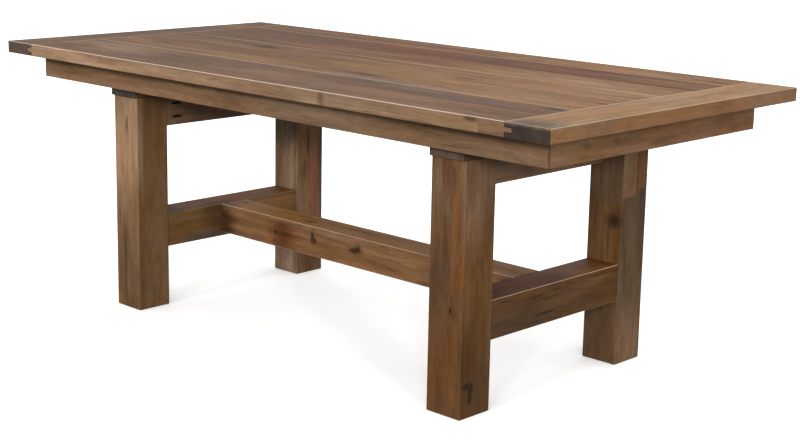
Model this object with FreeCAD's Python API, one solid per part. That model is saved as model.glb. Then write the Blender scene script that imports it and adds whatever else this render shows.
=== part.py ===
import FreeCAD, Part
import math
import os

from FreeCAD import Vector

# A trestle dining table in solid hardwood, in millimetres.
# X runs along the table from left to right, Y from the front to the back, and Z up.
# The origin is on the floor, under the middle of the top.

# Whole table
table_length = 2055.0
table_width = 990.0
table_height = 762.0

# Table top: field boards along X, held at each end by a breadboard across them
top_thickness = 35.0
top_edge_ease = 2.5
breadboard_width = 125.0
tongue_length = 20.0
tongue_thickness = 10.0
tongue_gap = 1.2
seam_ease = 2.0
spline_width = 18.0
spline_thickness = 6.0
spline_end_margin = 60.0
pin_diameter = 8.0
# Long edges of the field boards from the front to the back, as shares of the table's width
board_edge_shares = (0.0, 0.243, 0.390, 0.577, 0.723, 0.870, 1.0)
# Depths in the top, from its underside, as shares of its thickness
pin_depth_share = 0.75
insert_depth_share = 0.46
screw_depth_share = 0.6

# Apron frame: four boards on edge under the top, mitred at the corners
apron_height = 71.0
apron_thickness = 22.0
apron_end_inset = 67.5
apron_side_inset = 84.0
apron_ease = 1.5
# Places of the screws along each apron, as shares of its half length
long_apron_screw_shares = (-0.8, -0.3, 0.3, 0.8)
short_apron_screw_shares = (-0.6, 0.0, 0.6)

# Three-cornered blocks inside the apron frame, each held by two screws at different heights
corner_block_leg = 60.0
corner_block_height = 50.0
corner_block_seat = 14.0
block_screw_place_share = 0.35
block_screw_height_shares = (0.3, 0.7)
block_screw_bite_share = 0.65

# Batten across the middle of the top
batten_width = 70.0
batten_height = 40.0
batten_recess_share = 0.4

# Trestles: a leg at each corner, a bearer on the leg tops and two rails between the legs
leg_size = 108.0
leg_ease = 3.0
trestle_inset = 345.5
bearer_height = 99.0
bearer_end_overhang = 10.0
bearer_end_gap = 16.0
upper_rail_height = 90.0
upper_rail_thickness = 38.0
lower_rail_top = 276.0
lower_rail_height = 100.0
lower_rail_recess = 4.0
rail_ease = 2.5
rail_tenon_length = 40.0
rail_tenon_width_share = 0.36
rail_tenon_height_share = 0.6
rail_screw_place_share = 0.22

# Stretcher between the two lower rails
stretcher_width = 100.0
stretcher_height = 88.0
stretcher_tenon_length = 30.0
stretcher_tenon_width_share = 0.4
stretcher_tenon_height_share = 0.5
stretcher_screw_place_share = 0.3

# Screws, and the angled pockets that some of them sit in
screw_diameter = 4.2
screw_head_diameter = 8.4
screw_head_height = 3.0
screw_bite = 34.0
pocket_diameter = 9.5
pocket_angle = 15.0
pocket_setback = 35.5
pocket_seat_depth = 20.0

# Bolts with hexagon heads, their washers, and the threaded inserts in the top
leg_bolt_diameter = 10.0
leg_bolt_bite = 70.0
leg_bolt_place_share = 0.23
bearer_bolt_diameter = 8.0
insert_diameter = 12.0
washer_thickness = 2.0
leg_bolt_recess_share = 0.14
bearer_bolt_recess_share = 0.5
# Proportions of a bolt, as shares of its diameter
hex_corner_share = 0.98
hex_height_share = 0.65
washer_diameter_share = 2.2
recess_diameter_share = 2.6

# Clearances, and how far a cut runs past what it cuts
joint_clearance = 0.2
hole_clearance = 0.1
cut_overrun = 5.0
# An edge runs along a direction when more than this share of its tangent points that way
parallel_share = 0.99

# Places that follow from the sizes above
half_length = table_length / 2
half_width = table_width / 2
top_underside = table_height - top_thickness
top_middle = table_height - top_thickness / 2
breadboard_inner_x = half_length - breadboard_width
shoulder = breadboard_inner_x - tongue_gap
tongue_reach = shoulder + tongue_length
board_edges = [table_width * share - half_width for share in board_edge_shares]
board_spans = list(zip(board_edges[:-1], board_edges[1:]))
board_middles = [(front + back) / 2 for front, back in board_spans]
apron_outer_x = half_length - apron_end_inset
apron_outer_y = half_width - apron_side_inset
apron_inner_x = apron_outer_x - apron_thickness
apron_inner_y = apron_outer_y - apron_thickness
apron_bottom = top_underside - apron_height
bearer_end = apron_inner_y - bearer_end_gap
bearer_bottom = top_underside - bearer_height
leg_outer_x = half_length - trestle_inset
leg_inner_x = leg_outer_x - leg_size
leg_middle_x = leg_outer_x - leg_size / 2
leg_outer_y = bearer_end - bearer_end_overhang
leg_inner_y = leg_outer_y - leg_size
leg_middle_y = leg_outer_y - leg_size / 2
upper_rail_bottom = bearer_bottom - upper_rail_height
upper_rail_middle = bearer_bottom - upper_rail_height / 2
lower_rail_bottom = lower_rail_top - lower_rail_height
lower_rail_middle = lower_rail_top - lower_rail_height / 2
lower_rail_width = leg_size - 2 * lower_rail_recess
lower_rail_inner_x = leg_inner_x + lower_rail_recess
stretcher_bottom = lower_rail_top - stretcher_height
stretcher_middle = lower_rail_top - stretcher_height / 2

# Directions, and the signs of the two ends and the two sides
along = Vector(1, 0, 0)
across = Vector(0, 1, 0)
up = Vector(0, 0, 1)
down = Vector(0, 0, -1)
ends = {"left": -1, "right": 1}
sides = {"front": -1, "back": 1}

# Solids by node, and the spaces to be cut out of them
nodes = {}
cuts = {}


def add(name, *solids):
    nodes.setdefault(name, []).extend(solids)


def cut_from(names, spaces):
    for name in names:
        cuts.setdefault(name, []).extend(spaces)


def centred(middle, size):
    return (middle - size / 2, middle + size / 2)


def mirrored(sign, near, far):
    # A span on the positive side of an axis, or its mirror image on the negative side.
    return (near, far) if sign > 0 else (-far, -near)


def block(x_span, y_span, z_span):
    low = Vector(x_span[0], y_span[0], z_span[0])
    return Part.makeBox(x_span[1] - x_span[0], y_span[1] - y_span[0], z_span[1] - z_span[0], low)


def prism(corners, rise):
    outline = Part.makePolygon(corners + corners[:1])
    return Part.Face(outline).extrude(rise)


def rod(start, direction, length, diameter):
    return Part.makeCylinder(diameter / 2, length, start, direction)


def eased(solid, radius):
    return solid.makeFillet(radius, solid.Edges)


def eased_along(solid, radius, direction):
    edges = [e for e in solid.Edges if abs(e.tangentAt(e.FirstParameter).dot(direction)) > parallel_share]
    return solid.makeFillet(radius, edges)


# Screws and bolts

def straight_screw(seat, aim, length, recess):
    # A screw whose head sits at the bottom of a round recess, and the spaces to cut for it.
    head = rod(seat, aim * -1, screw_head_height, screw_head_diameter)
    shank = rod(seat, aim, length, screw_diameter)
    mouth = rod(seat, aim * -1, recess + cut_overrun, pocket_diameter)
    pilot = rod(seat, aim, length + hole_clearance, screw_diameter + 2 * hole_clearance)
    return head.fuse(shank), [mouth, pilot]


def pocket_screw(joint_point, toward, inward, bite):
    # A screw in an angled pocket. The pocket opens on a face that meets the joint at joint_point.
    # Toward points into the other piece, inward points into the pocketed face.
    slope = math.radians(pocket_angle)
    aim = toward * math.cos(slope) + inward * math.sin(slope)
    seat = joint_point - toward * pocket_setback + aim * pocket_seat_depth
    grip = pocket_setback / math.cos(slope) - pocket_seat_depth
    mouth = pocket_seat_depth + pocket_diameter / 2 / math.tan(slope)
    return straight_screw(seat, aim, grip + bite, mouth)


def hex_bolt(seat, aim, length, diameter):
    radius = diameter * hex_corner_share
    turns = [math.radians(60 * corner) for corner in range(6)]
    corners = [seat + Vector(math.cos(turn), math.sin(turn), 0) * radius for turn in turns]
    head = prism(corners, aim * (-diameter * hex_height_share))
    return head.fuse(rod(seat, aim, length, diameter))


def recessed_bolt(floor, aim, recess, reach, diameter):
    # A bolt and its washer on the floor of a round recess, and the spaces to cut for them.
    bore = diameter + 2 * hole_clearance
    ring = rod(floor, aim * -1, washer_thickness, diameter * washer_diameter_share)
    washer = ring.cut(rod(floor, aim * -1, washer_thickness, bore))
    bolt = hex_bolt(floor - aim * washer_thickness, aim, washer_thickness + reach, diameter)
    mouth = rod(floor, aim * -1, recess + cut_overrun, diameter * recess_diameter_share)
    hole = rod(floor, aim, reach + hole_clearance, bore)
    return bolt, washer, [mouth, hole]


# Table top

def make_top_boards():
    # Tongues on the boards' ends lie in grooves in the breadboards, with room for the wood to move.
    whole_span = (-half_width, half_width)
    top_span = (top_underside, table_height)
    whole = eased(block((-half_length, half_length), whole_span, top_span), top_edge_ease)
    for number, board_span in enumerate(board_spans, start=1):
        board = whole.common(block((-shoulder, shoulder), board_span, top_span))
        tongue = block((-tongue_reach, tongue_reach), board_span, centred(top_middle, tongue_thickness))
        add(f"top_board_{number}", board.fuse(tongue).removeSplitter())
    groove_reach = tongue_reach + tongue_gap
    groove_span = centred(top_middle, tongue_thickness + 2 * tongue_gap)
    for end, sign in ends.items():
        end_span = mirrored(sign, breadboard_inner_x, half_length)
        breadboard = whole.common(block(end_span, whole_span, top_span))
        groove = block(mirrored(sign, shoulder - cut_overrun, groove_reach), whole_span, groove_span)
        add(f"breadboard_{end}", breadboard.cut(groove))


def make_seam_grooves():
    # Eased grooves along every second seam, counted from the front edge, and along the breadboards.
    # The seams between them are glued up tight.
    rise = cut_overrun
    flare = seam_ease + cut_overrun
    board_names = [f"top_board_{number}" for number in range(1, len(board_spans) + 1)]
    for seam in range(1, len(board_spans), 2):
        seam_y = board_edges[seam]
        corners = [
            Vector(-half_length, seam_y, table_height - seam_ease),
            Vector(-half_length, seam_y + flare, table_height + rise),
            Vector(-half_length, seam_y - flare, table_height + rise),
        ]
        cut_from(board_names[seam - 1:seam + 1], [prism(corners, along * table_length)])
    for end, sign in ends.items():
        seam_x = sign * (shoulder + breadboard_inner_x) / 2
        corners = [
            Vector(seam_x, -half_width, table_height - seam_ease),
            Vector(seam_x + flare, -half_width, table_height + rise),
            Vector(seam_x - flare, -half_width, table_height + rise),
        ]
        cut_from(board_names + [f"breadboard_{end}"], [prism(corners, across * table_width)])


def make_splines():
    reach = shoulder - spline_end_margin
    for seam in range(1, len(board_spans)):
        seam_y = board_edges[seam]
        spline = block((-reach, reach), centred(seam_y, spline_width), centred(top_middle, spline_thickness))
        slot_reach = reach + joint_clearance
        slot = block(
            (-slot_reach, slot_reach),
            centred(seam_y, spline_width + 2 * joint_clearance),
            centred(top_middle, spline_thickness + 2 * joint_clearance),
        )
        add("board_splines", spline)
        cut_from([f"top_board_{seam}", f"top_board_{seam + 1}"], [slot])


def make_breadboard_pins():
    # Pins from below that hold each board's tongue in the breadboards.
    depth = top_thickness * pin_depth_share
    for end, sign in ends.items():
        for number, middle in enumerate(board_middles, start=1):
            foot = Vector(sign * (breadboard_inner_x + tongue_reach) / 2, middle, top_underside)
            hole = rod(foot - up * cut_overrun, up, depth + cut_overrun, pin_diameter + 2 * hole_clearance)
            add("breadboard_pins", rod(foot, up, depth, pin_diameter))
            cut_from([f"top_board_{number}", f"breadboard_{end}"], [hole])


# Apron frame

def make_aprons():
    z_span = (apron_bottom, top_underside)
    rise = up * apron_height
    for side, sign in sides.items():
        outer, inner = sign * apron_outer_y, sign * apron_inner_y
        bar = block((-apron_outer_x, apron_outer_x), mirrored(sign, apron_inner_y, apron_outer_y), z_span)
        plan = [
            Vector(-apron_outer_x, outer, apron_bottom),
            Vector(apron_outer_x, outer, apron_bottom),
            Vector(apron_inner_x, inner, apron_bottom),
            Vector(-apron_inner_x, inner, apron_bottom),
        ]
        add(f"apron_{side}", eased_along(bar, apron_ease, along).common(prism(plan, rise)))
    for end, sign in ends.items():
        outer, inner = sign * apron_outer_x, sign * apron_inner_x
        bar = block(mirrored(sign, apron_inner_x, apron_outer_x), (-apron_outer_y, apron_outer_y), z_span)
        plan = [
            Vector(outer, -apron_outer_y, apron_bottom),
            Vector(outer, apron_outer_y, apron_bottom),
            Vector(inner, apron_inner_y, apron_bottom),
            Vector(inner, -apron_inner_y, apron_bottom),
        ]
        add(f"apron_{end}", eased_along(bar, apron_ease, across).common(prism(plan, rise)))


def make_apron_screws():
    # Pocket screws on the inner faces of the aprons, up into the top.
    bite = top_thickness * screw_depth_share
    for side, sign in sides.items():
        board = "top_board_1" if sign < 0 else f"top_board_{len(board_spans)}"
        for share in long_apron_screw_shares:
            point = Vector(share * apron_outer_x, sign * apron_inner_y, top_underside)
            screw, spaces = pocket_screw(point, up, across * sign, bite)
            add("apron_screws", screw)
            cut_from([f"apron_{side}", board], spaces)
    for end, sign in ends.items():
        for share in short_apron_screw_shares:
            point = Vector(sign * apron_inner_x, share * apron_outer_y, top_underside)
            screw, spaces = pocket_screw(point, up, along * sign, bite)
            add("apron_screws", screw)
            cut_from([f"apron_{end}", f"breadboard_{end}"], spaces)


def make_corner_blocks():
    bottom = top_underside - corner_block_height
    place = corner_block_leg * block_screw_place_share
    length = corner_block_seat + apron_thickness * block_screw_bite_share
    heights = [bottom + corner_block_height * share for share in block_screw_height_shares]
    for end, x_sign in ends.items():
        for side, y_sign in sides.items():
            name = f"corner_block_{side}_{end}"
            corner = Vector(x_sign * apron_inner_x, y_sign * apron_inner_y, bottom)
            to_end, to_side = along * x_sign, across * y_sign
            plan = [corner, corner - to_end * corner_block_leg, corner - to_side * corner_block_leg]
            add(name, prism(plan, up * corner_block_height))
            screw_lines = ((to_end, to_side, f"apron_{end}"), (to_side, to_end, f"apron_{side}"))
            for height, (aim, beside, apron) in zip(heights, screw_lines):
                seat = Vector(corner.x, corner.y, height) - beside * place - aim * corner_block_seat
                screw, spaces = straight_screw(seat, aim, length, corner_block_leg)
                add("corner_block_screws", screw)
                cut_from([name, apron], spaces)


def make_centre_batten():
    bottom = top_underside - batten_height
    y_span = (-apron_inner_y, apron_inner_y)
    batten = block(centred(0, batten_width), y_span, (bottom, top_underside))
    add("centre_batten", eased_along(batten, apron_ease, across))
    recess = batten_height * batten_recess_share
    length = batten_height - recess + top_thickness * screw_depth_share
    for number in range(2, len(board_spans)):
        seat = Vector(0, board_middles[number - 1], bottom + recess)
        screw, spaces = straight_screw(seat, up, length, recess)
        add("batten_screws", screw)
        cut_from(["centre_batten", f"top_board_{number}"], spaces)


# Trestles

def make_legs_and_bearers():
    for end, x_sign in ends.items():
        x_span = mirrored(x_sign, leg_inner_x, leg_outer_x)
        for side, y_sign in sides.items():
            leg = block(x_span, mirrored(y_sign, leg_inner_y, leg_outer_y), (0, bearer_bottom))
            add(f"leg_{side}_{end}", eased(leg, leg_ease))
        bearer = block(x_span, (-bearer_end, bearer_end), (bearer_bottom, top_underside))
        add(f"bearer_{end}", eased(bearer, leg_ease))


def make_leg_bolts():
    # Two bolts from the top of the bearer down into each leg.
    recess = bearer_height * leg_bolt_recess_share
    reach = bearer_height - recess + leg_bolt_bite
    for end, x_sign in ends.items():
        for side, y_sign in sides.items():
            for place in (-leg_size * leg_bolt_place_share, leg_size * leg_bolt_place_share):
                floor = Vector(x_sign * leg_middle_x, y_sign * leg_middle_y + place, top_underside - recess)
                bolt, washer, spaces = recessed_bolt(floor, down, recess, reach, leg_bolt_diameter)
                add("leg_bolts", bolt)
                add("leg_bolt_washers", washer)
                cut_from([f"bearer_{end}", f"leg_{side}_{end}"], spaces)


def make_bearer_bolts():
    # Bolts from below through each bearer into threaded inserts in the boards between the legs.
    recess = bearer_height * bearer_bolt_recess_share
    insert_length = top_thickness * insert_depth_share
    reach = bearer_height - recess + insert_length
    bolt_x = (leg_inner_x + upper_rail_thickness + leg_outer_x) / 2
    for end, sign in ends.items():
        for number in range(2, len(board_spans) - 1):
            floor = Vector(sign * bolt_x, board_middles[number - 1], bearer_bottom + recess)
            bolt, washer, spaces = recessed_bolt(floor, up, recess, reach, bearer_bolt_diameter)
            add("bearer_bolts", bolt)
            add("bearer_bolt_washers", washer)
            cut_from([f"bearer_{end}"], spaces)
            mouth = Vector(floor.x, floor.y, top_underside)
            sleeve = rod(mouth, up, insert_length, insert_diameter)
            bore = rod(mouth, up, insert_length, bearer_bolt_diameter + 2 * hole_clearance)
            socket_length = insert_length + hole_clearance
            socket = rod(mouth, up, socket_length, insert_diameter + 2 * hole_clearance)
            add("threaded_inserts", sleeve.cut(bore))
            cut_from([f"top_board_{number}"], [socket])


def make_upper_rails():
    place = upper_rail_height * rail_screw_place_share
    for end, x_sign in ends.items():
        x_span = mirrored(x_sign, leg_inner_x, leg_inner_x + upper_rail_thickness)
        rail = block(x_span, (-leg_inner_y, leg_inner_y), (upper_rail_bottom, bearer_bottom))
        add(f"upper_rail_{end}", eased_along(rail, rail_ease, across))
        for side, y_sign in sides.items():
            for height in (upper_rail_middle - place, upper_rail_middle + place):
                point = Vector(x_sign * leg_inner_x, y_sign * leg_inner_y, height)
                screw, spaces = pocket_screw(point, across * y_sign, along * x_sign, screw_bite)
                add("upper_rail_screws", screw)
                cut_from([f"upper_rail_{end}", f"leg_{side}_{end}"], spaces)


def make_lower_rails():
    tenon_width = lower_rail_width * rail_tenon_width_share
    tenon_height = lower_rail_height * rail_tenon_height_share
    tenon_reach = leg_inner_y + rail_tenon_length
    mortise_reach = tenon_reach + joint_clearance
    for end, x_sign in ends.items():
        middle = x_sign * leg_middle_x
        rail = block(
            centred(middle, lower_rail_width),
            (-leg_inner_y, leg_inner_y),
            (lower_rail_bottom, lower_rail_top),
        )
        tenon = block(
            centred(middle, tenon_width),
            (-tenon_reach, tenon_reach),
            centred(lower_rail_middle, tenon_height),
        )
        mortise = block(
            centred(middle, tenon_width + 2 * joint_clearance),
            (-mortise_reach, mortise_reach),
            centred(lower_rail_middle, tenon_height + 2 * joint_clearance),
        )
        add(f"lower_rail_{end}", eased_along(rail, rail_ease, across).fuse(tenon).removeSplitter())
        cut_from([f"leg_{side}_{end}" for side in sides], [mortise])


# Stretcher

def make_stretcher():
    body = block(
        (-lower_rail_inner_x, lower_rail_inner_x),
        centred(0, stretcher_width),
        (stretcher_bottom, lower_rail_top),
    )
    tenon_width = stretcher_width * stretcher_tenon_width_share
    tenon_height = stretcher_height * stretcher_tenon_height_share
    tenon_reach = lower_rail_inner_x + stretcher_tenon_length
    tenon = block(
        (-tenon_reach, tenon_reach),
        centred(0, tenon_width),
        centred(stretcher_middle, tenon_height),
    )
    mortise_reach = tenon_reach + joint_clearance
    mortise = block(
        (-mortise_reach, mortise_reach),
        centred(0, tenon_width + 2 * joint_clearance),
        centred(stretcher_middle, tenon_height + 2 * joint_clearance),
    )
    add("stretcher", eased_along(body, rail_ease, along).fuse(tenon).removeSplitter())
    cut_from([f"lower_rail_{end}" for end in ends], [mortise])
    place = stretcher_width * stretcher_screw_place_share
    for end, sign in ends.items():
        for screw_y in (-place, place):
            point = Vector(sign * lower_rail_inner_x, screw_y, stretcher_bottom)
            screw, spaces = pocket_screw(point, along * sign, up, screw_bite)
            add("stretcher_screws", screw)
            cut_from(["stretcher", f"lower_rail_{end}"], spaces)


def save_nodes():
    os.makedirs("parts", exist_ok=True)
    for name, solids in nodes.items():
        if name in cuts:
            solids = [solid.cut(cuts[name]) for solid in solids]
        Part.makeCompound(solids).exportStep(f"parts/{name}.step")


make_top_boards()
make_seam_grooves()
make_splines()
make_breadboard_pins()
make_aprons()
make_apron_screws()
make_corner_blocks()
make_centre_batten()
make_legs_and_bearers()
make_leg_bolts()
make_bearer_bolts()
make_upper_rails()
make_lower_rails()
make_stretcher()
save_nodes()
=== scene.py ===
import math
import random

import bmesh
import bpy
from mathutils import Matrix, Vector


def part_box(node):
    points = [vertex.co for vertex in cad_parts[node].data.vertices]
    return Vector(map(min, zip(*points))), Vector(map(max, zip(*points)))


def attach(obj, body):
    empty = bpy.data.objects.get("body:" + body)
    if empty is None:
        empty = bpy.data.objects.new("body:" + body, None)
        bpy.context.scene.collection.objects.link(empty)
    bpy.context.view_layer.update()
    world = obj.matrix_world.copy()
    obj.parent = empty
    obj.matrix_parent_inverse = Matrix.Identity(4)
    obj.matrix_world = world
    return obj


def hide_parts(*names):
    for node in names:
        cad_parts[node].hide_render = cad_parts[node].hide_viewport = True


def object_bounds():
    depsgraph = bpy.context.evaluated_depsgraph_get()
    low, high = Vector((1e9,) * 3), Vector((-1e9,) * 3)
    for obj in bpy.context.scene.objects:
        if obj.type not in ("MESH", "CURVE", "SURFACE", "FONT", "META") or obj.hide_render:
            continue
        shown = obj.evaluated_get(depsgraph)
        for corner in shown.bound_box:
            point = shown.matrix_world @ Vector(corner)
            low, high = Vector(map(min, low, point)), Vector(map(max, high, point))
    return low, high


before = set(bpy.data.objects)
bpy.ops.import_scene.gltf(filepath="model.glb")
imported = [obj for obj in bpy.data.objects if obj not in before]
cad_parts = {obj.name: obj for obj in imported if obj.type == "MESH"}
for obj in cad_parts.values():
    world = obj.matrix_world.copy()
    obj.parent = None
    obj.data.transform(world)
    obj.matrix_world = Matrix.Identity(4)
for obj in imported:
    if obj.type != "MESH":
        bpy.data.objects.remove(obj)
cad_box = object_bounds()

# Units and axes: metres, X along the table, Y from the front to the back, Z up
MM = 0.001
AXES = ("x", "y", "z")
SIDES = {"-x": (0, -1), "+x": (0, 1), "-y": (1, -1), "+y": (1, 1), "-z": (2, -1), "+z": (2, 1)}


def linear(hex_colour):
    """An sRGB hex colour as linear red, green, blue and alpha."""
    parts = [int(hex_colour[i:i + 2], 16) / 255 for i in (1, 3, 5)]
    return [c / 12.92 if c <= 0.04045 else ((c + 0.055) / 1.055) ** 2.4 for c in parts] + [1.0]


def add_node(tree, kind, inputs=(), output=0, stops=(), **settings):
    """Adds a node with its settings, colour stops and inputs, and gives one output.

    The inputs are values or sockets, by name or in the node's own order.
    """
    made = tree.nodes.new("ShaderNode" + kind)
    for name, value in settings.items():
        setattr(made, name, value)
    if stops:
        ramp = made.color_ramp
        while len(ramp.elements) < len(stops):
            ramp.elements.new(1.0)
        for element, (place, colour) in zip(ramp.elements, stops):
            element.position = place
            element.color = linear(colour)
    pairs = inputs.items() if isinstance(inputs, dict) else enumerate(inputs)
    for socket, value in pairs:
        if isinstance(value, bpy.types.NodeSocket):
            tree.links.new(value, made.inputs[socket])
        else:
            made.inputs[socket].default_value = value
    return made.outputs[output] if len(made.outputs) else None


def start_material(name):
    """A new material and its node tree, with nothing in it yet."""
    material = bpy.data.materials.new(name)
    material.use_nodes = True
    material.node_tree.nodes.clear()
    return material, material.node_tree


def direction_to(azimuth, elevation):
    """The direction from the table to an azimuth, counted from the front, and an elevation, in degrees."""
    turn = math.radians(azimuth)
    rise = math.radians(elevation)
    flat = math.cos(rise)
    return Vector((math.sin(turn) * flat, -math.cos(turn) * flat, math.sin(rise)))


def looking_back(direction):
    """The turn of a camera or a lamp that looks back along a direction, with its top up."""
    return (-direction).to_track_quat("-Z", "Y").to_matrix().to_4x4()


# Camera, at the photograph's viewing angle, with its angles in degrees
camera_place = Vector((2.942, -2.933, 1.271))
camera_azimuth = 43.85
camera_elevation = 11.80
camera_roll = 1.10
camera_lens = 68.4
camera_shift = -0.04


def make_camera():
    data = bpy.data.cameras.new("camera")
    data.lens = camera_lens
    data.shift_y = camera_shift
    camera = bpy.data.objects.new("camera", data)
    turn = looking_back(direction_to(camera_azimuth, camera_elevation))
    roll = Matrix.Rotation(math.radians(camera_roll), 4, "Z")
    camera.matrix_world = Matrix.Translation(camera_place) @ turn @ roll
    bpy.context.scene.collection.objects.link(camera)
    bpy.context.scene.camera = camera


# Studio: a pale ceiling, walls that are brighter at the front, and low lamps at the front right and the back
studio_white = "#ffffff"
ceiling_light = 1.26
ceiling_edge_share = 0.75
front_wall_light = 0.5
back_wall_light = 0.12
front_direction = (0.77, -0.64, 0.0)
wall_blend_share = 0.6
ground_share = 0.5
front_lamps = {"places": ((6, 18), (26, 17), (46, 14.5), (66, 12)), "spread": 6, "strength": 0.79}
back_lamps = {"places": ((190, 6), (242, 6)), "spread": 10, "strength": 0.9}


def make_studio():
    scene = bpy.context.scene
    scene.view_settings.view_transform = "Standard"
    world = bpy.data.worlds.new("studio")
    world.use_nodes = True
    tree = world.node_tree
    tree.nodes.clear()
    direction = add_node(tree, "TexCoord")
    upwards = add_node(tree, "SeparateXYZ", (direction,), output=2)
    forwards = add_node(tree, "VectorMath", (direction, front_direction), output=1, operation="DOT_PRODUCT")
    wall = add_node(
        tree, "MapRange", (forwards, -wall_blend_share, wall_blend_share, back_wall_light, front_wall_light),
        interpolation_type="SMOOTHSTEP")
    above = add_node(
        tree, "MapRange", (upwards, 0.0, ceiling_edge_share, wall, ceiling_light),
        interpolation_type="SMOOTHSTEP")
    below = add_node(tree, "MapRange", (upwards, 0.0, -1.0, 1.0, ground_share))
    light = add_node(tree, "Math", (above, below), operation="MULTIPLY")
    glow = add_node(tree, "Background", {"Color": linear(studio_white), "Strength": light})
    add_node(tree, "OutputWorld", {"Surface": glow})
    scene.world = world


def make_lamps(places, spread, strength):
    """A row of far lamps, placed by azimuth and elevation in degrees, that don't glare in the lacquer."""
    for azimuth, elevation in places:
        data = bpy.data.lights.new("lamp_at_" + str(azimuth), "SUN")
        data.angle = math.radians(spread)
        data.energy = strength
        lamp = bpy.data.objects.new(data.name, data)
        lamp.matrix_world = looking_back(direction_to(azimuth, elevation))
        lamp.visible_glossy = False
        bpy.context.scene.collection.objects.link(lamp)


# Floor: matt white paint with a faint glow of its own, just under the feet
floor_paint = "#fdfdfc"
floor_roughness = 0.9
floor_glow = 0.3
floor_reach = 40
floor_drop = 0.5 * MM


def make_floor():
    shape = bmesh.new()
    bmesh.ops.create_grid(shape, x_segments=1, y_segments=1, size=floor_reach)
    bmesh.ops.translate(shape, verts=shape.verts, vec=(0, 0, -floor_drop))
    mesh = bpy.data.meshes.new("floor")
    shape.to_mesh(mesh)
    shape.free()
    paint, tree = start_material("matt_white_paint")
    shader = add_node(tree, "BsdfPrincipled", {
        "Base Color": linear(floor_paint),
        "Roughness": floor_roughness,
        "Emission Color": linear(studio_white),
        "Emission Strength": floor_glow,
    })
    add_node(tree, "OutputMaterial", {"Surface": shader})
    mesh.materials.append(paint)
    floor = bpy.data.objects.new("floor", mesh)
    bpy.context.scene.collection.objects.link(floor)
    floor.visible_diffuse = False
    floor.visible_glossy = False


# Stains of the acacia staves, with colours for painted shade and highlight, as sRGB hex
STAINS = {
    "tan": "#886c53",
    "fawn": "#806247",
    "ash": "#7d6650",
    "honey": "#8a6546",
    "copper": "#7f5a37",
    "amber": "#7a593e",
    "clay": "#785c44",
    "brown": "#6a4d34",
    "olive": "#624b33",
    "bark": "#5b412b",
    "smoke": "#68503d",
    "plum": "#674831",
    "wheat": "#8d6b4a",
    "oak": "#664a2e",
    "cocoa": "#644629",
    "walnut": "#54371c",
    "chestnut": "#5e3214",
    "cedar": "#794a20",
    "haze": "#5f4a3b",
    "peat": "#41332a",
    "mocha": "#5a3e26",
    "nut": "#72563f",
    "ginger": "#986a3e",
    "oat": "#937459",
    "dun": "#584330",
    # Painted shade inside bores, pockets and mortises
    "hollow_shade": "#2a1d13",
    "russet": "#6b472b",
    "rust": "#7c543d",
    "umber": "#46321f",
    "slate": "#4d423a",
    "soot": "#120d0a",
    # Pale rubbed wood on eased edges, partly a painted highlight
    "bare": "#d9cbb8",
}

# Each timber: the way its grain runs, and its slot
TIMBERS = {
    "top_board_1": ("x", "top_wood"),
    "top_board_2": ("x", "top_wood"),
    "top_board_3": ("x", "top_wood"),
    "top_board_4": ("x", "top_wood"),
    "top_board_5": ("x", "top_wood"),
    "top_board_6": ("x", "top_wood"),
    "breadboard_left": ("y", "top_wood"),
    "breadboard_right": ("y", "top_wood"),
    "apron_front": ("x", "frame_wood"),
    "apron_back": ("x", "frame_wood"),
    "apron_left": ("y", "frame_wood"),
    "apron_right": ("y", "frame_wood"),
    "leg_front_left": ("z", "frame_wood"),
    "leg_front_right": ("z", "frame_wood"),
    "leg_back_left": ("z", "frame_wood"),
    "leg_back_right": ("z", "frame_wood"),
    "bearer_left": ("y", "frame_wood"),
    "bearer_right": ("y", "frame_wood"),
    "upper_rail_left": ("y", "frame_wood"),
    "upper_rail_right": ("y", "frame_wood"),
    "lower_rail_left": ("y", "frame_wood"),
    "lower_rail_right": ("y", "frame_wood"),
    "stretcher": ("x", "frame_wood"),
}

# The stave that covers a whole side, or the whole timber under the key "all"
STAVES = {
    "top_board_1": {"all": "plum", "-y": "tan"},
    "top_board_2": {"all": "copper"},
    "top_board_3": {"all": "copper"},
    "top_board_4": {"all": "copper"},
    "top_board_5": {"all": "chestnut"},
    "top_board_6": {"all": "copper"},
    "breadboard_left": {"all": "bark", "-y": "haze"},
    "breadboard_right": {"all": "wheat", "-y": "peat", "+x": "amber"},
    "apron_front": {"all": "clay"},
    "apron_back": {"all": "clay"},
    "apron_left": {"all": "brown"},
    "apron_right": {"all": "amber"},
    "leg_front_left": {"all": "oak", "-y": "fawn"},
    "leg_front_right": {"all": "cocoa", "-y": "mocha", "-x": "olive"},
    "leg_back_left": {"all": "brown", "-y": "ash", "+x": "amber"},
    "leg_back_right": {"all": "brown", "-y": "dun", "+x": "dun"},
    "bearer_left": {"all": "bark", "-y": "slate", "+y": "slate"},
    "bearer_right": {"all": "bark", "-y": "smoke", "+y": "smoke"},
    "upper_rail_left": {"all": "smoke"},
    "upper_rail_right": {"all": "nut"},
    "lower_rail_left": {"all": "oak", "+z": "cedar"},
    "lower_rail_right": {"all": "walnut", "+z": "chestnut"},
    "stretcher": {"all": "amber", "+z": "ginger"},
}

# Shorter staves let into a side: side, then the shares that they cover across and along, then the stain
INSET_STAVES = {
    "top_board_1": [("-y", (0.0, 1.0), (0.949, 1.0), "clay")],
    "leg_front_right": [("-y", (0.65, 1.0), (0.0, 1.0), "russet")],
    "leg_back_right": [
        ("-y", (0.0, 0.60), (0.44, 0.70), "cocoa"),
        ("-y", (0.60, 1.0), (0.40, 0.70), "mocha"),
        ("+x", (0.54, 1.0), (0.75, 1.0), "russet"),
        ("+x", (0.0, 0.54), (0.72, 1.0), "clay"),
    ],
}
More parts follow.
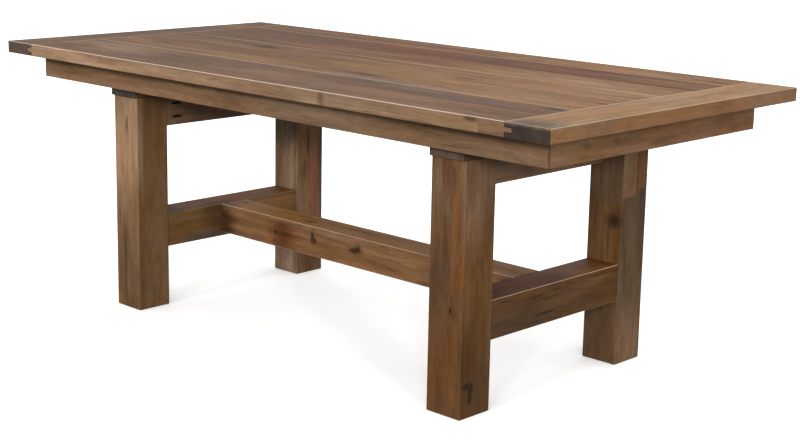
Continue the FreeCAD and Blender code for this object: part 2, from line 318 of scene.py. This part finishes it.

# Soft clouds of another stain, a few of them painted shade and a few painted light, by the way the grain
# runs: place and half size in mm, stain and strength
CLOUDS = {
    "x": [
        # Top boards
        # The top gets darker towards its left end
        ((-700, 150, 762), (1500, 800, 30), "mocha", 0.75),
        ((-300, 240, 762), (1400, 330, 30), "chestnut", 0.40),
        ((-720, 150, 762), (280, 270, 30), "umber", 0.35),
        ((780, 290, 762), (330, 75, 30), "copper", 0.6),
        ((-780, 130, 762), (170, 60, 30), "slate", 0.35),
        ((-540, 330, 762), (190, 40, 30), "slate", 0.60),
        ((150, 300, 762), (110, 45, 30), "slate", 0.65),
        ((470, 290, 762), (300, 50, 30), "bark", 0.35),
        ((720, 345, 762), (70, 16, 30), "umber", 0.8),
        ((600, 150, 762), (340, 70, 30), "oat", 0.6),
        ((-160, 170, 762), (240, 40, 30), "tan", 0.30),
        ((720, 0, 762), (280, 70, 30), "honey", 0.6),
        ((-790, -60, 762), (110, 35, 30), "rust", 0.4),
        ((-725, -160, 762), (90, 40, 30), "umber", 0.8),
        ((-220, -180, 762), (230, 50, 30), "olive", 0.45),
        ((660, -190, 762), (230, 45, 30), "tan", 0.55),
        ((-720, -335, 762), (340, 110, 30), "tan", 0.6),
        ((-770, -390, 762), (120, 26, 30), "umber", 0.55),
        ((-380, -360, 762), (230, 40, 30), "umber", 0.40),
        ((-150, -350, 762), (90, 30, 30), "umber", 0.55),
        ((620, -330, 762), (300, 60, 30), "slate", 0.40),
        ((320, -245, 762), (330, 60, 30), "slate", 0.60),
        ((380, -440, 762), (260, 40, 30), "smoke", 0.40),
        # Front edge of the top
        ((333, -495, 745), (24, 30, 30), "umber", 0.75),
        ((-700, -495, 745), (330, 20, 40), "oat", 0.5),
        ((-240, -495, 745), (200, 20, 40), "clay", 0.55),
        ((40, -495, 745), (300, 20, 40), "clay", 0.45),
        ((560, -495, 745), (480, 20, 40), "clay", 0.50),
        ((780, -495, 745), (150, 20, 40), "clay", 0.65),
        ((806, -495, 758), (24, 8, 10), "soot", 0.6),
        # Front apron
        ((-860, -411, 690), (130, 30, 40), "russet", 0.5),
        # Painted light: a lighter band along the middle of the apron, below the top's shadow
        ((250, -411, 690), (700, 30, 22), "tan", 0.6),
        ((960, -411, 690), (5, 5, 60), "soot", 0.55),
        # Stretcher
        ((-520, -50, 240), (70, 60, 60), "honey", 0.35),
        # Painted shade in the corner where the stretcher meets the left lower rail
        ((-575, -50, 222), (110, 60, 100), "umber", 0.9),
        ((-580, -50, 222), (70, 60, 90), "soot", 0.45),
        ((-300, -50, 228), (95, 40, 75), "chestnut", 0.85),
        ((-304, -50, 226), (56, 40, 48), "umber", 0.7),
        ((330, -50, 230), (170, 60, 40), "brown", 0.4),
        ((-170, -50, 212), (200, 60, 50), "umber", 0.35),
        ((-223, -13, 276), (46, 14, 20), "umber", 0.8),
        ((-40, 10, 276), (80, 14, 20), "umber", 0.5),
    ],
    "y": [
        # Breadboards
        ((-965, 150, 762), (110, 170, 30), "slate", 0.6),
        ((-960, 330, 762), (90, 70, 30), "clay", 0.6),
        ((-960, -330, 762), (90, 110, 30), "plum", 0.6),
        ((965, -470, 762), (150, 120, 8), "ash", 0.9),
        ((955, -475, 762), (100, 60, 8), "slate", 0.6),
        ((1000, 200, 762), (30, 260, 30), "tan", 0.35),
        # Right apron
        ((960, -150, 690), (30, 200, 20), "brown", 0.4),
        ((960, -167, 690), (30, 16, 9), "umber", 0.4),
        ((960, -280, 692), (30, 24, 10), "umber", 0.45),
        ((960, -411, 690), (5, 5, 60), "soot", 0.55),
        # Left lower rail
        # Painted shade in the corner where the rail meets the stretcher
        ((-578, -50, 240), (60, 115, 100), "umber", 0.9),
        ((-578, -125, 192), (60, 75, 20), "slate", 0.85),
        # Lighter copper beyond the stretcher: partly the wood's tone, partly painted light in the table's
        # shade
        ((-578, 160, 226), (40, 150, 80), "copper", 0.7),
        # Painted shade on the rail's top next to the front left leg
        ((-628, -230, 276), (90, 80, 8), "umber", 0.7),
        # Right lower rail
        ((678, -205, 262), (30, 32, 5), "soot", 0.65),
        ((678, -90, 252), (30, 50, 5), "soot", 0.55),
        ((678, -170, 225), (30, 170, 90), "umber", 0.4),
        ((678, -170, 200), (30, 64, 8), "umber", 0.75),
        ((678, -180, 178), (40, 300, 60), "umber", 0.95),
        ((678, 150, 250), (30, 90, 22), "brown", 0.5),
        ((678, -50, 204), (30, 56, 6), "soot", 0.60),
        ((678, 0, 258), (30, 30, 5), "soot", 0.50),
        ((678, 120, 212), (30, 70, 8), "umber", 0.65),
        ((628, 150, 276), (100, 150, 8), "copper", 0.6),
        ((640, 40, 276), (40, 60, 8), "umber", 0.75),
        ((620, -190, 276), (40, 60, 20), "umber", 0.55),
    ],
    "z": [
        # Front left leg
        ((-628, -363, 530), (130, 30, 210), "oat", 0.9),
        ((-622, -363, 548), (10, 30, 40), "bark", 0.75),
        ((-628, -363, 80), (150, 30, 370), "mocha", 0.9),
        ((-640, -363, 130), (10, 30, 210), "umber", 0.8),
        # Painted shade at the top of the leg's inner side, under the apron and the top
        ((-574, -300, 600), (30, 70, 60), "umber", 0.5),
        # Front right leg
        ((648, -363, 580), (9, 30, 45), "umber", 0.75),
        ((625, -363, 400), (13, 30, 110), "umber", 0.7),
        ((600, -363, 420), (10, 30, 120), "umber", 0.45),
        ((590, -363, 570), (26, 30, 70), "ash", 0.45),
        ((675, -363, 60), (50, 30, 320), "walnut", 0.7),
        ((610, -363, 500), (70, 30, 110), "brown", 0.7),
        ((605, -363, 305), (80, 30, 120), "umber", 0.5),
        ((610, -363, 40), (90, 30, 150), "walnut", 0.6),
        ((682, -309, 590), (30, 130, 200), "clay", 0.9),
        ((682, -309, 50), (30, 130, 270), "walnut", 0.95),
        ((682, -309, 90), (30, 130, 330), "umber", 0.45),
        # Back left leg
        ((-628, 255, 560), (70, 30, 150), "olive", 0.6),
        ((-628, 255, 330), (110, 30, 170), "tan", 0.5),
        ((-586, 255, 300), (16, 30, 420), "slate", 0.5),
        ((-574, 322, 320), (30, 44, 460), "rust", 0.8),
        ((-574, 310, 40), (30, 90, 130), "umber", 0.55),
        ((-574, 302, 430), (30, 8, 75), "umber", 0.85),
        ((-574, 284, 340), (30, 9, 60), "umber", 0.55),
        ((-574, 358, 300), (30, 20, 420), "slate", 0.8),
        # Back right leg
        ((656, 255, 390), (36, 30, 34), "soot", 0.75),
        ((641, 255, 340), (7, 30, 70), "umber", 0.9),
        ((628, 255, 110), (130, 30, 140), "bark", 0.6),
        # Painted light: a lighter patch on the leg's front where the front apron's shadow falls
        ((645, 255, 490), (80, 30, 75), "fawn", 0.55),
        ((682, 330, 400), (30, 40, 110), "slate", 0.35),
        ((682, 300, 60), (30, 70, 130), "fawn", 0.5),
    ],
}

# Knots, by the way the grain runs: place in mm, half width across the grain and half length along it
KNOTS = {
    "x": [
        # Top boards
        ((-445, 8, 762), 18, 44),
        ((182, -195, 762), 10, 40),
        ((398, -48, 762), 5, 30),
        ((867, -278, 762), 10, 26),
        ((886, -127, 762), 5, 12),
        ((905, 27, 762), 5, 12),
        ((846, 406, 762), 6, 18),
        # Stretcher
        ((-332, -50, 232), 4, 7),
        ((-172, -50, 243), 14, 6),
        ((-164, -50, 236), 8, 7),
        ((0, -50, 237), 7, 19),
        ((13, -50, 242), 10, 11),
        ((-549, 17, 276), 5, 14),
    ],
    "y": [
        # Left apron
        ((-960, 140, 688), 6, 11),
    ],
    "z": [
        # Front right leg
        ((644, -363, 263), 4, 7),
        ((682, -341, 80), 15, 9),
        ((682, -327, 70), 10, 17),
        ((682, -328, 48), 8, 15),
    ],
}

# Figure of the acacia: real sizes across the grain and along it, some by the way the grain runs
ring_width = 9 * MM
streak_width = 22 * MM
streak_length = {"x": 600 * MM, "y": 320 * MM, "z": 240 * MM}
drift_width = 70 * MM
drift_length = {"x": 420 * MM, "y": 260 * MM, "z": 210 * MM}
vein_width = 6 * MM
vein_length = {"x": 330 * MM, "y": 190 * MM, "z": 150 * MM}
mottle_width = 15 * MM
mottle_length = 42 * MM
wander_width = 55 * MM
wander_length = 450 * MM
fray_width = 30 * MM
fray_length = 260 * MM
ragged_width = 8 * MM
ragged_length = 14 * MM

# Real fibres are hundredths of a millimetre across and pores a few tenths, so both are drawn coarser, to show
fibre_width = 2.2 * MM
fibre_length = 50 * MM
pore_width = 1.6 * MM
pore_length = 22 * MM

# Turns that lay the grain along X
grain_turns = {"x": (0, 0, 0), "y": (0, 0, -math.pi / 2), "z": (0, math.pi / 2, 0)}

# Rings: the scale at which a wave texture draws one ring to the unit, and how the growth rings waver
wave_angle_per_unit = 20
one_ring_scale = math.tau / wave_angle_per_unit
ring_waver = {"Distortion": 2.0, "Detail": 2.0, "Detail Scale": 0.6}

# Strength of the figure: weights beside the streaks, parts of each noise that tell, and shares of the stain
figure_weights = {"rings": -0.10, "fibres": 0.35, "pores": -0.08, "drift": 1.1}
figure_range = (0.80, 1.55)
figure_shares = {"x": (0.56, 1.42), "y": (0.64, 1.34), "z": (0.68, 1.30)}
noise_range = (0.30, 0.70)
pore_range = (0.60, 0.72)
vein_range = (0.58, 0.74)
vein_shares = (1.0, 0.60)
mottle_shares = (0.86, 1.14)
vivid_shares = (0.92, 1.10)
hue_range = (0.495, 0.506)

# Clouds and knots: how ragged they are, and where they fade, in their own sizes from the middle
fray_share = 1.2
cloud_edge = (1.6, 0.8)
ragged_share = 1.3
knot_blend = 0.5
knot_swirl = (2.0, 5.0)
knot_halo = (1.3, 3.2)
knot_halo_strength = 0.55
knot_heart = (1.25, 1.85)
knot_heart_strength = 0.74

# End grain and eased edges: how square to an axis a face is, and the look of the end grain
end_facing = (0.80, 0.95)
end_saturation = 0.75
end_value = 0.70
eased_facing = (0.97, 0.85)

# Satin lacquer over open pores
wood_ior = 1.5
lacquer_specular = 0.21
lacquer_roughness = 0.50
pore_roughness = 0.18
pore_relief = -0.5
grain_bump = {"Strength": 0.25, "Distance": 0.5 * MM}


def along_grain(run, along, across):
    """A size along the grain and a size across it, as X, Y and Z."""
    return [along if axis == run else across for axis in AXES]


def reach_from(tree, place, centre, half_size):
    """How far each point is from a centre, in half sizes, with the centre and half size given in mm."""
    location = [c * MM for c in centre]
    scale = [h * MM for h in half_size]
    local = add_node(
        tree, "Mapping", {"Vector": place, "Location": location, "Scale": scale}, vector_type="TEXTURE")
    return add_node(tree, "VectorMath", (local,), output=1, operation="LENGTH")


def knot_distance(tree, place, run):
    """How far each point is from its nearest knot, in knot sizes, with a ragged edge."""
    nearest = None
    for centre, half_across, half_along in KNOTS[run]:
        reach = reach_from(tree, place, centre, along_grain(run, half_along, half_across))
        if nearest is None:
            nearest = reach
        else:
            nearest = add_node(tree, "Math", (nearest, reach, knot_blend), operation="SMOOTH_MIN")
    ragged_size = along_grain(run, ragged_length, ragged_width)
    ragged_place = add_node(tree, "VectorMath", (place, ragged_size), operation="DIVIDE")
    ragged = add_node(tree, "TexNoise", {"Vector": ragged_place, "Scale": 1.0, "Detail": 3.0})
    return add_node(tree, "Math", (ragged, ragged_share, nearest), operation="MULTIPLY_ADD")


def acacia_grain(tree, place, run, nearest):
    """The layers of the grain about the heart of each stave's log, which wanders along the stave."""
    log = add_node(tree, "Attribute", attribute_name="stave_log", output=1)
    in_log = add_node(tree, "VectorMath", (place, log), operation="SUBTRACT")
    turned = add_node(tree, "Mapping", {"Vector": in_log, "Rotation": grain_turns[run]})
    wander_size = (wander_length, wander_width, wander_width)
    wander_place = add_node(tree, "VectorMath", (turned, wander_size), operation="DIVIDE")
    wander = add_node(tree, "TexNoise", {"Vector": wander_place, "Scale": 1.0, "Detail": 2.0}, output=1)
    sideways = (0, wander_width, wander_width)
    wandered = add_node(tree, "VectorMath", (wander, sideways, turned), operation="MULTIPLY_ADD")

    # Layers of noise: where each is read, its length, its width and the noise's own settings
    layers = {
        "streaks": (
            wandered, streak_length[run], streak_width, {"Detail": 5.0, "Roughness": 0.6, "Distortion": 0.4}),
        "fibres": (wandered, fibre_length, fibre_width, {"Detail": 3.0}),
        "pores": (turned, pore_length, pore_width, {"Detail": 1.0}),
        "drift": (wandered, drift_length[run], drift_width, {"Detail": 3.0, "Distortion": 0.6}),
        "veins": (wandered, vein_length[run], vein_width, {"Detail": 4.0, "Distortion": 0.5}),
        "mottle": (wandered, mottle_length, mottle_width, {"Detail": 5.0, "Roughness": 0.65}),
    }
    grain = {}
    for layer, (where, length, width, look) in layers.items():
        scaled = add_node(tree, "VectorMath", (where, (length, width, width)), operation="DIVIDE")
        grain[layer] = add_node(tree, "TexNoise", {"Vector": scaled, "Scale": 1.0, **look})
    grain["pores"] = add_node(tree, "MapRange", (grain["pores"], *pore_range))

    # Growth rings, which bend round the knots
    ring_size = (streak_length[run], ring_width, ring_width)
    ring_place = add_node(tree, "VectorMath", (wandered, ring_size), operation="DIVIDE")
    rings = add_node(
        tree, "TexWave", {"Vector": ring_place, "Scale": one_ring_scale, **ring_waver},
        output=1, wave_type="RINGS", rings_direction="X", wave_profile="SAW")
    round_knot = add_node(tree, "Math", (nearest,), operation="FRACT")
    swirl = add_node(tree, "MapRange", (nearest, *knot_swirl, 1.0, 0.0), interpolation_type="SMOOTHSTEP")
    grain["rings"] = add_node(tree, "MixRGB", (swirl, rings, round_knot))
    return grain


def clouded(tree, colour, place, run):
    """The stain with clouds of other stains in it, and a few clouds of painted shade and painted light,
    frayed along the grain.
    """
    fray_size = along_grain(run, fray_length, fray_width)
    fray_place = add_node(tree, "VectorMath", (place, fray_size), operation="DIVIDE")
    fray = add_node(tree, "TexNoise", {"Vector": fray_place, "Scale": 1.0, "Detail": 4.0})
    for centre, half_size, stain, strength in CLOUDS[run]:
        reach = reach_from(tree, place, centre, half_size)
        frayed = add_node(tree, "Math", (fray, fray_share, reach), operation="MULTIPLY_ADD")
        cover = add_node(
            tree, "MapRange", (frayed, *cloud_edge, 0.0, strength), interpolation_type="SMOOTHSTEP")
        colour = add_node(tree, "MixRGB", (cover, colour, linear(STAINS[stain])))
    return colour


def figured(tree, colour, grain, run):
    """The stain, light and dark along the figure, with drifts towards red and towards grey."""
    figure = grain["streaks"]
    for layer, weight in figure_weights.items():
        figure = add_node(tree, "Math", (grain[layer], weight, figure), operation="MULTIPLY_ADD")
    bright = add_node(tree, "MapRange", (figure, *figure_range, *figure_shares[run]))
    veins = add_node(tree, "MapRange", (grain["veins"], *vein_range, *vein_shares))
    mottle = add_node(tree, "MapRange", (grain["mottle"], *noise_range, *mottle_shares))
    for layer in (veins, mottle):
        bright = add_node(tree, "Math", (bright, layer), operation="MULTIPLY")
    drift_tint = grain["drift"].node.outputs["Color"]
    tints = add_node(tree, "SeparateXYZ", (drift_tint,)).node.outputs
    vivid = add_node(tree, "MapRange", (tints[1], *noise_range, *vivid_shares))
    hue = add_node(tree, "MapRange", (tints[2], *noise_range, *hue_range))
    return add_node(
        tree, "HueSaturation", {"Hue": hue, "Saturation": vivid, "Value": bright, "Color": colour})


def knotted(tree, colour, nearest):
    """The stain with its knots: a black heart with a crisp rim, in a dark halo."""
    halo = add_node(
        tree, "MapRange", (nearest, *knot_halo, knot_halo_strength, 0.0), interpolation_type="SMOOTHSTEP")
    colour = add_node(tree, "MixRGB", (halo, colour, linear(STAINS["umber"])))
    heart = add_node(tree, "MapRange", (nearest, *knot_heart, knot_heart_strength, 0.0))
    return add_node(tree, "MixRGB", (heart, colour, linear(STAINS["soot"])))


def worn_and_highlit(tree, colour, run):
    """The stain, dark and grey on end grain, and pale on eased edges, which face between two axes: rubbed
    wood under a painted highlight.
    """
    facing = add_node(tree, "NewGeometry", output=1)
    parts = add_node(tree, "SeparateXYZ", (facing,)).node.outputs
    sizes = [add_node(tree, "Math", (part,), operation="ABSOLUTE") for part in parts]
    end = add_node(tree, "MapRange", (sizes[AXES.index(run)], *end_facing))
    end_colour = add_node(
        tree, "HueSaturation", {"Saturation": end_saturation, "Value": end_value, "Color": colour})
    colour = add_node(tree, "MixRGB", (end, colour, end_colour))
    widest = add_node(tree, "Math", (sizes[0], sizes[1]), operation="MAXIMUM")
    widest = add_node(tree, "Math", (widest, sizes[2]), operation="MAXIMUM")
    eased = add_node(tree, "MapRange", (widest, *eased_facing))
    # The pale on eased edges is partly rubbed wood and partly a painted highlight
    rub_and_highlight = add_node(tree, "Attribute", attribute_name="edge_rub_and_highlight", output=2)
    rubbed = add_node(tree, "Math", (eased, rub_and_highlight), operation="MULTIPLY")
    return add_node(tree, "MixRGB", (rubbed, colour, linear(STAINS["bare"])))


def stained_acacia(run):
    """Acacia staves, sanded, stained brown and sealed with a satin lacquer.

    The stain goes deeper into the early wood, so dark and tan streaks run along each stave, with black knots
    in swirls of grain. The sealed face has a soft sheen that the open pores break up; end grain drinks the
    stain and goes grey and dull, and the eased edges are rubbed back to pale wood under a painted highlight.
    """
    material, tree = start_material("stained_acacia_along_" + run)
    place = add_node(tree, "TexCoord", output=3)
    nearest = knot_distance(tree, place, run)
    grain = acacia_grain(tree, place, run, nearest)
    colour = add_node(tree, "Attribute", attribute_name="stave_colour")
    colour = clouded(tree, colour, place, run)
    colour = figured(tree, colour, grain, run)
    colour = knotted(tree, colour, nearest)
    colour = worn_and_highlit(tree, colour, run)
    rough = add_node(
        tree, "Math", (grain["pores"], pore_roughness, lacquer_roughness), operation="MULTIPLY_ADD")
    relief = add_node(tree, "Math", (grain["pores"], pore_relief, grain["fibres"]), operation="MULTIPLY_ADD")
    bump = add_node(tree, "Bump", {"Height": relief, **grain_bump})
    shader = add_node(tree, "BsdfPrincipled", {
        "Base Color": colour,
        "Roughness": rough,
        "IOR": wood_ior,
        "Specular IOR Level": lacquer_specular,
        "Normal": bump,
    })
    add_node(tree, "OutputMaterial", {"Surface": shader})
    return material


# How far the eased edges are rubbed back and painted with a pale highlight: along the table's rim, and on the
# other edges of each timber
rim_rub_and_highlight = 0.30
FRONT_RIM_RUB_AND_HIGHLIGHT = {"top_board_1": 0.62, "breadboard_left": 0.45, "breadboard_right": 0.16}
groove_rub_and_highlight = 0.33
frame_rub_and_highlight = 0.0
EDGE_RUB_AND_HIGHLIGHT = {"stretcher": 0.45, "lower_rail_left": 0.14, "lower_rail_right": 0.42}
rim_reach = 4 * MM
bore_margin = 1.2 * MM

# Timbers: a merged copy of each frame timber, parted into its staves
merge_distance = 0.005 * MM
sharp_angle = math.radians(35)
heart_depth = (35 * MM, 95 * MM)
heart_drift = 25 * MM
log_spacing = 3.0


def side_of(face):
    """The name of the side of the timber that a face looks to."""
    axis = max(range(3), key=lambda i: abs(face.normal[i]))
    return ("+" if face.normal[axis] > 0 else "-") + AXES[axis]


def cut_side(shape, side, axis, place):
    """Parts the faces of one side along a plane."""
    faces = [f for f in shape.faces if side_of(f) == side]
    edges = list({e for f in faces for e in f.edges})
    verts = list({v for f in faces for v in f.verts})
    on_plane = Vector((0, 0, 0))
    on_plane[axis] = place
    across = Vector((0, 0, 0))
    across[axis] = 1
    bmesh.ops.bisect_plane(shape, geom=faces + edges + verts, plane_co=on_plane, plane_no=across)


def stave_log(centre, side, run, draw):
    """The heart of the log that a stave was sawn from: under its side, at another place along the grain."""
    axis, sign = SIDES[side]
    log = Vector(centre)
    log[axis] -= sign * draw.uniform(*heart_depth)
    for i, name in enumerate(AXES):
        spread = log_spacing if name == run else heart_drift
        log[i] += draw.uniform(-spread, spread)
    return log


def stain_stave(shape, faces, stain, log):
    """Gives the faces of a stave its stain and its place in the log."""
    colours = shape.faces.layers.float_color["stave_colour"]
    logs = shape.faces.layers.float_vector["stave_log"]
    for face in faces:
        face[colours] = linear(STAINS[stain])
        face[logs] = log


def lay_staves(shape, name, run):
    """Stains each side of a timber as one stave, then the shorter staves that are let into it."""
    low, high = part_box(name)
    middle = (low + high) / 2
    draw = random.Random(name)
    shape.faces.layers.float_color.new("stave_colour")
    shape.faces.layers.float_vector.new("stave_log")
    for side in SIDES:
        stain = STAVES[name].get(side, STAVES[name]["all"])
        faces = [f for f in shape.faces if side_of(f) == side]
        stain_stave(shape, faces, stain, stave_log(middle, side, run, draw))
    run_axis = AXES.index(run)
    for side, across, along, stain in INSET_STAVES.get(name, []):
        across_axis = ({0, 1, 2} - {run_axis, SIDES[side][0]}).pop()
        reach = {}
        for axis, shares in ((across_axis, across), (run_axis, along)):
            reach[axis] = [low[axis] + share * (high[axis] - low[axis]) for share in shares]
            for place in reach[axis]:
                cut_side(shape, side, axis, place)
        shape.normal_update()
        faces = []
        for face in shape.faces:
            centre = face.calc_center_median()
            inside = all(start <= centre[axis] <= end for axis, (start, end) in reach.items())
            if inside and side_of(face) == side:
                faces.append(face)
        stain_stave(shape, faces, stain, stave_log(middle, side, run, draw))


def edge_rub_and_highlight(name, slot, middle):
    """How far an eased edge is rubbed back, and painted with a pale highlight, at a point."""
    if slot != "top_wood":
        return EDGE_RUB_AND_HIGHLIGHT.get(name, frame_rub_and_highlight)
    if middle.z < cad_box[1][2] - rim_reach:
        return frame_rub_and_highlight
    if middle.y < cad_box[0][1] + rim_reach:
        return FRONT_RIM_RUB_AND_HIGHLIGHT[name]
    on_rim = any(abs(middle[axis] - corner[axis]) < rim_reach for corner in cad_box for axis in (0, 1))
    return rim_rub_and_highlight if on_rim else groove_rub_and_highlight


def wear_highlight_and_shade_faces(shape, name, slot):
    """Rubs the eased edges back under a painted highlight, and paints the insides of bores, pockets and
    mortises dark as shade.
    """
    low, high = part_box(name)
    rubs_and_highlights = shape.faces.layers.float.new("edge_rub_and_highlight")
    colours = shape.faces.layers.float_color["stave_colour"]
    for face in shape.faces:
        middle = face.calc_center_median()
        face[rubs_and_highlights] = edge_rub_and_highlight(name, slot, middle)
        # Faces deep inside the timber's box, in bores, pockets and mortises, get painted shade
        if all(low[axis] + bore_margin < middle[axis] < high[axis] - bore_margin for axis in range(3)):
            face[colours] = linear(STAINS["hollow_shade"])


def dress_timber(name, run, slot, material):
    """A stained copy of a frame timber, in its place, with smooth eased edges."""
    shape = bmesh.new()
    shape.from_mesh(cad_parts[name].data)
    bmesh.ops.remove_doubles(shape, verts=shape.verts, dist=merge_distance)
    shape.normal_update()
    lay_staves(shape, name, run)
    wear_highlight_and_shade_faces(shape, name, slot)
    for edge in shape.edges:
        edge.smooth = edge.calc_face_angle(0) < sharp_angle
    for face in shape.faces:
        face.smooth = True
    mesh = bpy.data.meshes.new(name + "_timber")
    shape.to_mesh(mesh)
    shape.free()

    # Normals that were kept for the loose triangles don't fit the merged copy
    if "custom_normal" in mesh.attributes:
        mesh.attributes.remove(mesh.attributes["custom_normal"])
    mesh.materials.clear()
    mesh.materials.append(material)
    timber = bpy.data.objects.new(name + "_timber", mesh)
    bpy.context.scene.collection.objects.link(timber)
    flatten = timber.modifiers.new("even_shading", "WEIGHTED_NORMAL")
    flatten.keep_sharp = True
    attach(timber, "root")
    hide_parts(name)


# Bare rubberwood: colours from the dark to the pale of its figure, and how dull and rough the plane left it
rubberwood_stops = [(0.45, "#a98c66"), (0.68, "#c2a67d"), (0.90, "#cfb58e")]
rubberwood_fibre_weight = 0.4
rubberwood_roughness = (0.62, 0.78)
rubberwood_bump = {"Strength": 0.2, "Distance": 0.3 * MM}


def planed_rubberwood(run):
    """Rubberwood, planed and left bare where it is out of sight: pale, dull, with short fine grain lines."""
    material, tree = start_material("planed_rubberwood_along_" + run)
    place = add_node(tree, "TexCoord", output=3)
    turned = add_node(tree, "Mapping", {"Vector": place, "Rotation": grain_turns[run]})
    streak_size = (streak_length[run], streak_width, streak_width)
    streak_place = add_node(tree, "VectorMath", (turned, streak_size), operation="DIVIDE")
    streaks = add_node(tree, "TexNoise", {"Vector": streak_place, "Scale": 1.0, "Detail": 4.0})
    fibre_size = (pore_length, pore_width, pore_width)
    fibre_place = add_node(tree, "VectorMath", (turned, fibre_size), operation="DIVIDE")
    fibres = add_node(tree, "TexNoise", {"Vector": fibre_place, "Scale": 1.0, "Detail": 2.0})
    figure = add_node(tree, "Math", (fibres, rubberwood_fibre_weight, streaks), operation="MULTIPLY_ADD")
    colour = add_node(tree, "ValToRGB", (figure,), stops=rubberwood_stops)
    rough = add_node(tree, "MapRange", (fibres, *noise_range, *rubberwood_roughness))
    bump = add_node(tree, "Bump", {"Height": fibres, **rubberwood_bump})
    shader = add_node(
        tree, "BsdfPrincipled", {"Base Color": colour, "Roughness": rough, "IOR": wood_ior, "Normal": bump})
    add_node(tree, "OutputMaterial", {"Surface": shader})
    return material


# Fittings: the width of the clouds in a coat of zinc or phosphate, and the rings that a lathe tool leaves
coat_cloud = 3 * MM
tool_mark = 0.4 * MM
brass_stops = [(0.0, "#a88540"), (1.0, "#c9a558")]
brass_roughness = (0.38, 0.24)


def clouded_steel(name, stops, roughness, metallic):
    """Steel under a thin coat, whose colour and gloss drift together over a few millimetres."""
    material, tree = start_material(name)
    place = add_node(tree, "TexCoord", output=3)
    cloud_place = add_node(tree, "VectorMath", (place, [coat_cloud] * 3), operation="DIVIDE")
    clouds = add_node(tree, "TexNoise", {"Vector": cloud_place, "Scale": 1.0, "Detail": 4.0})
    colour = add_node(tree, "ValToRGB", (clouds,), stops=stops)
    rough = add_node(tree, "MapRange", (clouds, *noise_range, *roughness))
    shader = add_node(
        tree, "BsdfPrincipled", {"Base Color": colour, "Roughness": rough, "Metallic": metallic})
    add_node(tree, "OutputMaterial", {"Surface": shader})
    return material


def zinc_plated_steel():
    """Steel screws and bolts, bright zinc plated: a cool grey shine, clouded by handling and storage."""
    stops = [(0.35, "#9a9a98"), (0.55, "#b9babb"), (0.75, "#c6c8cb")]
    return clouded_steel("zinc_plated_steel", stops, roughness=(0.42, 0.26), metallic=1.0)


def blackened_steel():
    """Pocket screws, hardened and phosphated black: a dull, sooty grey, clouded a little lighter."""
    stops = [(0.40, "#1c1b1a"), (0.70, "#333130")]
    return clouded_steel("blackened_steel", stops, roughness=(0.66, 0.48), metallic=0.6)


def turned_brass():
    """Brass inserts, turned on a lathe: yellow, with fine rings from the tool, dulled a little by air."""
    material, tree = start_material("turned_brass")
    place = add_node(tree, "TexCoord", output=3)
    tool_place = add_node(tree, "VectorMath", (place, [tool_mark] * 3), operation="DIVIDE")
    marks = add_node(
        tree, "TexWave", {"Vector": tool_place, "Scale": one_ring_scale, "Distortion": 1.0},
        output=1, bands_direction="Z")
    colour = add_node(tree, "ValToRGB", (marks,), stops=brass_stops)
    rough = add_node(tree, "MapRange", (marks, 0.0, 1.0, *brass_roughness))
    shader = add_node(tree, "BsdfPrincipled", {"Base Color": colour, "Roughness": rough, "Metallic": 1.0})
    add_node(tree, "OutputMaterial", {"Surface": shader})
    return material


# Pieces that stay as the frame has them: bare woods with the way their grain runs, and metal fittings
BARE_WOODS = {
    "board_splines": "x",
    "breadboard_pins": "z",
    "corner_block_front_left": "z",
    "corner_block_front_right": "z",
    "corner_block_back_left": "z",
    "corner_block_back_right": "z",
    "centre_batten": "y",
}
STEEL_PIECES = (
    "corner_block_screws",
    "batten_screws",
    "leg_bolts",
    "leg_bolt_washers",
    "bearer_bolts",
    "bearer_bolt_washers",
)
BLACK_PIECES = ("apron_screws", "upper_rail_screws", "stretcher_screws")
BRASS_PIECES = ("threaded_inserts",)


def finish_nodes(names, material):
    """Puts a material in every slot of the nodes."""
    for name in names:
        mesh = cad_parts[name].data
        for index in range(len(mesh.materials)):
            mesh.materials[index] = material


make_camera()
make_studio()
make_lamps(**front_lamps)
make_lamps(**back_lamps)
make_floor()
woods = {run: stained_acacia(run) for run in AXES}
for name, (run, slot) in TIMBERS.items():
    dress_timber(name, run, slot, woods[run])
bare_woods = {run: planed_rubberwood(run) for run in AXES}
for name, run in BARE_WOODS.items():
    finish_nodes([name], bare_woods[run])
finish_nodes(STEEL_PIECES, zinc_plated_steel())
finish_nodes(BLACK_PIECES, blackened_steel())
finish_nodes(BRASS_PIECES, turned_brass())
